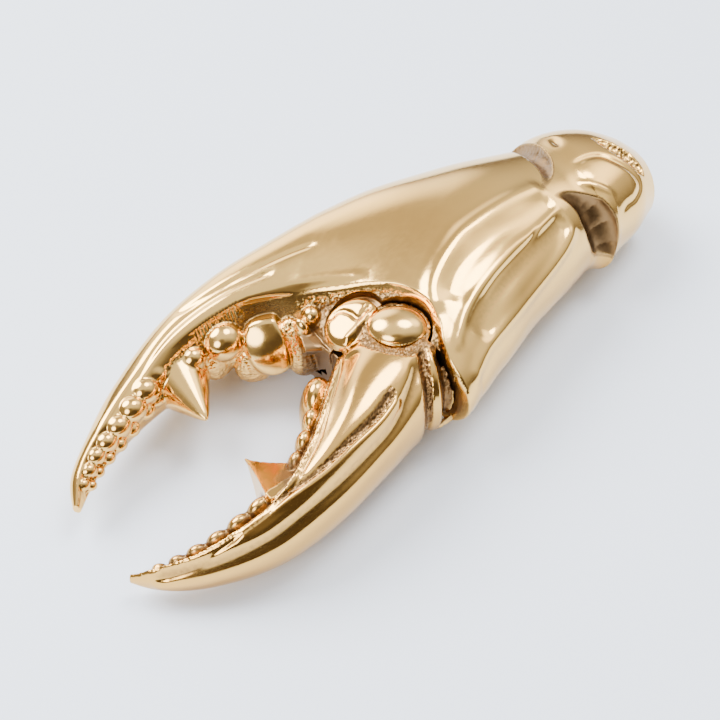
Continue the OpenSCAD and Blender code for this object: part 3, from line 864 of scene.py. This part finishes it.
def split_at_seam(rows, quads, upper):
    """The part of a closed surface above or below the seam, with the cut closed.

    Each row holds a vertex, its normal and its recess value.
    """
    tris = np.vstack([quads[:, [0, 1, 2]], quads[:, [0, 2, 3]]])
    f = rows[:, 2] - seam_height(rows[:, 0])
    f = np.where(np.abs(f) < 1e-4, 1e-4, f) * (1 if upper else -1)
    up = f[tris] > 0
    number = up.sum(1)
    whole = tris[number == 3]
    new_v, edge_id = [], {}

    def cut(a, b):
        key = (a, b) if a < b else (b, a)
        if key not in edge_id:
            edge_id[key] = len(rows) + len(new_v)
            new_v.append(key)
        return edge_id[key]

    made, rim = [], []
    for tri in tris[(number == 1) | (number == 2)].tolist():
        flags = [f[i] > 0 for i in tri]
        lone = flags.index(True) if sum(flags) == 1 else flags.index(False)
        a, b, c = tri[lone], tri[(lone + 1) % 3], tri[(lone + 2) % 3]
        p, q = cut(a, b), cut(a, c)
        if sum(flags) == 1:
            made.append((a, p, q))
            rim.append((q, p))
        else:
            made.append((p, b, c))
            made.append((p, c, q))
            rim.append((p, q))
    keys = np.array(new_v)
    t = (f[keys[:, 0]] / (f[keys[:, 0]] - f[keys[:, 1]]))[:, None]
    cut_rows = rows[keys[:, 0]] * (1 - t) + rows[keys[:, 1]] * t
    edges = [(a - len(rows), b - len(rows)) for a, b in rim]
    outline = [Vector(v[:2]) for v in cut_rows.tolist()]
    flat, _, faces, _, _, _ = delaunay_2d_cdt(outline, edges, [], 2, 1e-7)
    flat = np.array([list(v) for v in flat])
    cap_rows = np.zeros((len(flat), rows.shape[1]))
    cap_rows[:, :2] = flat
    cap_rows[:, 2] = seam_height(flat[:, 0])
    cap_rows[:, 5] = -1.0 if upper else 1.0
    turn = -1 if upper else 1
    base = len(rows) + len(cut_rows)
    caps = base + np.array([face[::turn] for face in faces if len(face) == 3])
    faces = np.vstack([whole, np.array(made), caps])
    used, renumbered = np.unique(faces, return_inverse=True)
    return np.vstack([rows, cut_rows, cap_rows])[used], renumbered.reshape(faces.shape)


def build(name, rows, faces, material):
    """Blender mesh in the part's frame, with exact normals and the recess value for the patina."""
    mesh = bpy.data.meshes.new(name)
    corners = faces.shape[1]
    mesh.vertices.add(len(rows))
    mesh.vertices.foreach_set("co", ((rows[:, :3] - FOOTPRINT) * MM).astype(np.float32).ravel())
    mesh.loops.add(faces.size)
    mesh.loops.foreach_set("vertex_index", faces.astype(np.int32).ravel())
    mesh.polygons.add(len(faces))
    mesh.polygons.foreach_set("loop_start", np.arange(0, faces.size, corners, dtype=np.int32))
    mesh.polygons.foreach_set("loop_total", np.full(len(faces), corners, dtype=np.int32))
    mesh.polygons.foreach_set("use_smooth", np.ones(len(faces), bool))
    mesh.update(calc_edges=True)
    mesh.validate()
    layer = mesh.attributes.new("recess", "FLOAT", "POINT")
    layer.data.foreach_set("value", rows[:, 6].astype(np.float32))
    mesh.normals_split_custom_set_from_vertices(rows[:, 3:6].astype(np.float32).tolist())
    obj = bpy.data.objects.new(name, mesh)
    bpy.context.scene.collection.objects.link(obj)
    mesh.materials.append(material)
    return obj


def depth_below(plain, points):
    """How far each point lies below the plain form, in millimetres."""
    return np.clip(-plain(points), 0, 8)


# ---------------------------------------------------------------- materials

class Graph:
    """Adds shader nodes to a tree; each method gives the new node's output."""

    def __init__(self, tree):
        self.nodes, self.links = tree.nodes, tree.links

    def feed(self, socket, value):
        """Links a socket to another node's output, or gives it a constant."""
        if isinstance(value, bpy.types.NodeSocket):
            self.links.new(value, socket)
        else:
            socket.default_value = (*value, 1) if socket.type == "RGBA" else value

    def add(self, kind, output, inputs, **settings):
        """New node with its settings made and its inputs fed."""
        node = self.nodes.new("ShaderNode" + kind)
        for name, value in settings.items():
            setattr(node, name, value)
        for key, value in inputs.items():
            self.feed(node.inputs[key], value)
        return node.outputs[output]

    def noise(self, place, scale, detail, distortion=0.0):
        """Smooth noise, mostly between 0.3 and 0.7."""
        inputs = {"Vector": place, "Scale": scale, "Detail": detail, "Distortion": distortion}
        return self.add("TexNoise", "Fac", inputs)

    def remap(self, value, low, high, to_low, to_high):
        """The value moved from one range to another, and held inside it."""
        ends = zip(("From Min", "From Max", "To Min", "To Max"), (low, high, to_low, to_high))
        return self.add("MapRange", "Result", {"Value": value, **dict(ends)})

    def mix(self, amount, a, b):
        """Colour a at 0, and b at 1."""
        return self.add("Mix", 2, {0: amount, 6: a, 7: b}, data_type="RGBA")

    def plus(self, a, b):
        """Sum of two values."""
        return self.add("Math", 0, {0: a, 1: b}, operation="ADD")

    def times(self, a, b):
        """Product of two values."""
        return self.add("Math", 0, {0: a, 1: b}, operation="MULTIPLY")

    def bump(self, height, strength, distance):
        """Normal bent by a height."""
        return self.add("Bump", "Normal", {"Height": height, "Strength": strength, "Distance": distance})


def new_material(name, colour, roughness, metallic):
    """Material with these constants, its graph, object coordinates and shader inputs."""
    material = bpy.data.materials.new(name)
    material.use_nodes = True
    graph = Graph(material.node_tree)
    inputs = next(n for n in graph.nodes if n.type == "BSDF_PRINCIPLED").inputs
    for key, value in (("Base Color", colour), ("Roughness", roughness), ("Metallic", metallic)):
        graph.feed(inputs[key], value)
    return material, graph, graph.add("TexCoord", "Object", {}), inputs


def cast_brass(name, clean, warm, patina, polish, recess_start, recess_end):
    """Hand-polished brass with fine brush marks, small pits, and brown patina in the recesses."""
    material, graph, place, inputs = new_material(name, clean, polish, 1.0)
    recess_depth = graph.add("Attribute", "Fac", {}, attribute_name="recess")
    ragged = graph.remap(graph.noise(place, 900, 3), 0.3, 0.7, -0.15, 0.15)
    deep = graph.remap(graph.plus(recess_depth, ragged), recess_start, recess_end, 0, 1)
    cloud = graph.remap(graph.noise(place, 28, 3), 0.35, 0.7, 0, 0.55)
    graph.feed(inputs["Base Color"], graph.mix(deep, graph.mix(cloud, clean, warm), patina))
    along = {"Vector": place, "Rotation": (0, 0, 0.25), "Scale": (0.12, 1, 1)}
    brushed = graph.noise(graph.add("Mapping", "Vector", along), 2600, 4, 0.2)
    brushing = graph.remap(brushed, 0.3, 0.7, polish * 0.75, polish * 1.3)
    graph.feed(inputs["Roughness"], graph.plus(brushing, graph.remap(deep, 0, 1, 0, 0.2)))
    spots = graph.add("TexVoronoi", "Distance", {"Vector": place, "Scale": 330})
    pit = graph.times(graph.remap(spots, 0.01, 0.06, 0, 1), 0.08)
    waves = graph.times(graph.noise(place, 110, 2), 0.8)
    height = graph.plus(pit, graph.plus(graph.times(brushed, 0.12), waves))
    graph.feed(inputs["Normal"], graph.bump(height, 0.3, 0.0001))
    return material


def turned_metal(name, colour, polish, ring_scale):
    """Machined metal with lathe rings and a faint mottling."""
    material, graph, place, inputs = new_material(name, colour, polish, 1.0)
    mottle = graph.remap(graph.noise(place, 180, 4), 0.35, 0.7, 0, 1)
    darker = tuple(c * 0.72 for c in colour)
    graph.feed(inputs["Base Color"], graph.mix(mottle, colour, darker))
    wave = {"Vector": place, "Scale": ring_scale, "Distortion": 0.6}
    rings = graph.add("TexWave", "Fac", wave, bands_direction="Z")
    graph.feed(inputs["Roughness"], graph.remap(rings, 0, 1, polish * 0.8, polish * 1.4))
    graph.feed(inputs["Normal"], graph.bump(rings, 0.25, 0.00004))
    return material


CLEAN = (0.94, 0.575, 0.165)
WARM = (0.89, 0.50, 0.125)
PATINA = (0.25, 0.145, 0.06)
# Moving finger's colours: darker, browner copies of the shell's clean, warm and patina brass, as painted
# shade for the finger's dimmer lower side
SHADED_FINGER_CLEAN = (0.81, 0.465, 0.118)
SHADED_FINGER_WARM = (0.75, 0.40, 0.092)
SHADED_FINGER_PATINA = (0.22, 0.12, 0.045)
shell_brass = cast_brass("shell_brass", CLEAN, WARM, PATINA, 0.13, 0.65, 2.5)
# The finger's material takes the darker copies, so painted shade lies over the whole finger
finger_brass = cast_brass("finger_brass", SHADED_FINGER_CLEAN, SHADED_FINGER_WARM, SHADED_FINGER_PATINA, 0.13, 0.5, 1.6)
cap_brass = cast_brass("cap_brass", CLEAN, WARM, PATINA, 0.15, 0.6, 2)
screw_brass = turned_metal("screw_brass", (0.72, 0.50, 0.22), 0.3, 900)
bush_bronze = turned_metal("bush_bronze", (0.56, 0.33, 0.16), 0.32, 1200)
pin_steel = turned_metal("pin_steel", (0.56, 0.55, 0.53), 0.25, 1500)
spring_steel = turned_metal("spring_steel", (0.30, 0.30, 0.31), 0.35, 2000)


# ---------------------------------------------------------------- pieces

def sculpt(field, low, high, h, rounds):
    """Mesh of the field, with the field's own normals wherever the mesh agrees with them."""
    vertices, quads = mesh_field(field, low, high, h)
    vertices, normals = settle(field, vertices, h, rounds)
    a, b, c, e = (vertices[quads[:, i]] for i in range(4))
    facing = np.cross(c - a, e - b)
    plain = np.zeros_like(vertices)
    for i in range(4):
        np.add.at(plain, quads[:, i], facing)
    plain /= np.maximum(np.linalg.norm(plain, axis=1), 1e-12)[:, None]
    agree = (normals * plain).sum(1)
    return vertices, np.where((agree > 0.8)[:, None], normals, plain), quads


# Corners of the rough throat between the nodules and the knuckle
THROAT = ([-13, -4, -1], [1, 14, 22])


def in_box(points, low, high, fade):
    """1 inside the box, falling to 0 at its faces."""
    inset = np.minimum(points - np.array(low), np.array(high) - points).min(axis=1)
    return ramp(inset, 0, fade)


def make_shells():
    """Both half shells, from one mesh parted at the seam."""
    vertices, normals, quads = sculpt(claw_solid, (-79, -34, -2), (104, 44, 38), VOXEL, 2)
    extra = depth_below(plain_claw, vertices) + 2 * in_box(vertices, *THROAT, 1.5)
    for line, radii in (NEAR_SCOOP, FAR_SCOOP):
        extra = extra + 2 * ramp(0.8 - np.abs(tube(vertices, line, radii)), 0, 0.5)
    rows = np.column_stack([vertices, normals, extra])
    for name, upper in (("brass_upper_shell", True), ("brass_lower_shell", False)):
        obj = build(name, *split_at_seam(rows, quads, upper), shell_brass)
        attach(obj, "claw")
        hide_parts(name.removeprefix("brass_"))


def make_finger():
    """The moving finger, with patina in its chased places and round the knuckle."""
    vertices, normals, quads = sculpt(finger_solid, (-78, -40, -1), (17, 9, 34), VOXEL, 2)
    extra = depth_below(finger, vertices)
    near_pivot = from_pivot(vertices) < 15
    extra = np.where(near_pivot, np.minimum(extra, 1.1), extra) + 1.5 * chased(vertices)
    obj = build("brass_moving_finger", np.column_stack([vertices, normals, extra]), quads, finger_brass)
    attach(obj, "jaw")
    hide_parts("moving_finger")


def make_cap():
    """The domed cap on the knuckle."""
    vertices, normals, quads = sculpt(cap_solid, (-3, -15, 24), (14, 1, 32), VOXEL * 0.7, 2)
    rows = np.column_stack([vertices, normals, np.zeros(len(vertices))])
    obj = build("brass_knuckle_cap", rows, quads, cap_brass)
    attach(obj, "jaw")
    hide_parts("upper_knuckle_cap")


def dress_frame_nodes():
    """Gives each CAD node that stays in sight its metal."""
    looks = {
        "lower_knuckle_cap": cap_brass, "pivot_pin": pin_steel, "pivot_bush": bush_bronze,
        "upper_thrust_washer": bush_bronze, "lower_thrust_washer": bush_bronze,
        "return_spring": spring_steel, "stop_pin": pin_steel, "dowel_pins": pin_steel,
        "shell_screws": screw_brass}
    for name, material in looks.items():
        mesh = frame["nodes"][name].data
        mesh.materials.clear()
        mesh.materials.append(material)


make_shells()
make_finger()
make_cap()
dress_frame_nodes()


# ---------------------------------------------------------------- floor, light and camera

# The two whites that the table's colour drifts between
TABLE_WHITES = ((0.80, 0.875, 0.99), (0.82, 0.89, 1.0))


def make_floor():
    """Plain white table."""
    bpy.ops.mesh.primitive_plane_add(size=6, location=(0, 0, 0))
    floor = bpy.context.object
    floor.name = "table"
    material, graph, place, inputs = new_material("table_white", (0.80, 0.83, 0.88), 0.6, 0.0)
    cloud = graph.remap(graph.noise(place, 3, 2), 0.3, 0.7, 0, 1)
    graph.feed(inputs["Base Color"], graph.mix(cloud, *TABLE_WHITES))
    floor.data.materials.append(material)


def set_up(name, data, place, target):
    """Puts a lamp or the camera in the scene, aimed at the target."""
    item = bpy.data.objects.new(name, data)
    item.location = place
    item.rotation_mode = "QUATERNION"
    item.rotation_quaternion = (Vector(target) - Vector(place)).to_track_quat("-Z", "Y")
    bpy.context.scene.collection.objects.link(item)
    return item


def make_light(name, place, size, power, colour):
    """Round area lamp aimed at the part."""
    data = bpy.data.lights.new(name, "AREA")
    data.shape = "DISK"
    data.size = size
    data.energy = power
    data.color = colour
    set_up(name, data, place, (0, 0, 0))


# Light of the room: walls, ceiling, then brighter and darker patches, each with its direction,
# inner and outer cosine, and colour
WALL_LIGHT = (0.3, 0.28, 0.27)
CEILING_LIGHT = (1.35, 1.38, 1.44)
ROOM_PATCHES = [
    ((-0.2, -0.95, 0.15), 0.85, 0.5, (0.12, 0.1, 0.09)),
    ((-0.9, 0.3, 0.2), 0.9, 0.6, (0.4, 0.37, 0.35)),
    ((-0.386, -0.531, 0.755), 0.985, 0.93, (0.25, 0.22, 0.2)),
    ((0.25, 0.62, 0.74), 0.985, 0.88, (0.85, 0.82, 0.8)),
    ((0.73, 0.02, 0.66), 1.0, 0.955, (4.2, 4.1, 4)),
    ((0.243, 0.908, 0.342), 0.985, 0.9, (4.2, 4.2, 4.3))]


def make_world():
    """Pale room: bright overhead, dimmer at the horizon, with darker furniture here and there."""
    world = bpy.data.worlds.new("room")
    bpy.context.scene.world = world
    world.use_nodes = True
    graph = Graph(world.node_tree)
    background = next(n for n in graph.nodes if n.type == "BACKGROUND")
    background.inputs["Strength"].default_value = 1.0
    direction = graph.add("TexCoord", "Generated", {})
    up = graph.remap(graph.add("SeparateXYZ", "Z", {0: direction}), 0.1, 0.7, 0, 1)
    room = graph.mix(up, WALL_LIGHT, CEILING_LIGHT)
    for centre, inner, outer, shade in ROOM_PATCHES:
        cosine = graph.add("VectorMath", "Value", {0: direction, 1: unit(centre)}, operation="DOT_PRODUCT")
        room = graph.mix(graph.remap(cosine, outer, inner, 0, 1), room, shade)
    graph.feed(background.inputs["Color"], room)


# Camera fitted to the photo: angles in degrees, distance in metres and height aimed at in millimetres
AZIMUTH, ELEVATION, FIELD = -36, 49, 32
DISTANCE = 0.302
AIM_Z = 12.6


def make_camera():
    """Camera at the photo's angle and distance."""
    azimuth, elevation = math.radians(AZIMUTH), math.radians(ELEVATION)
    level = math.cos(elevation)
    back = Vector((math.sin(azimuth) * level, -math.cos(azimuth) * level, math.sin(elevation)))
    target = Vector((np.array([0, 0, AIM_Z]) - FOOTPRINT) * MM)
    data = bpy.data.cameras.new("camera")
    data.sensor_width = 36
    data.lens = data.sensor_width / 2 / math.tan(math.radians(FIELD / 2))
    data.clip_start = 0.01
    bpy.context.scene.camera = set_up("camera", data, target + back * DISTANCE, target)


make_floor()
make_light("window", (-0.5, 0.9, 1.1), 1.1, 52, (0.97, 0.98, 1.0))
make_light("side_fill", (-1.1, -0.5, 0.8), 0.8, 14, (1.0, 1.0, 1.0))
make_light("ceiling_lamp", (0.6, 0.1, 1.4), 0.7, 18, (1.0, 0.99, 0.97))
make_world()
make_camera()
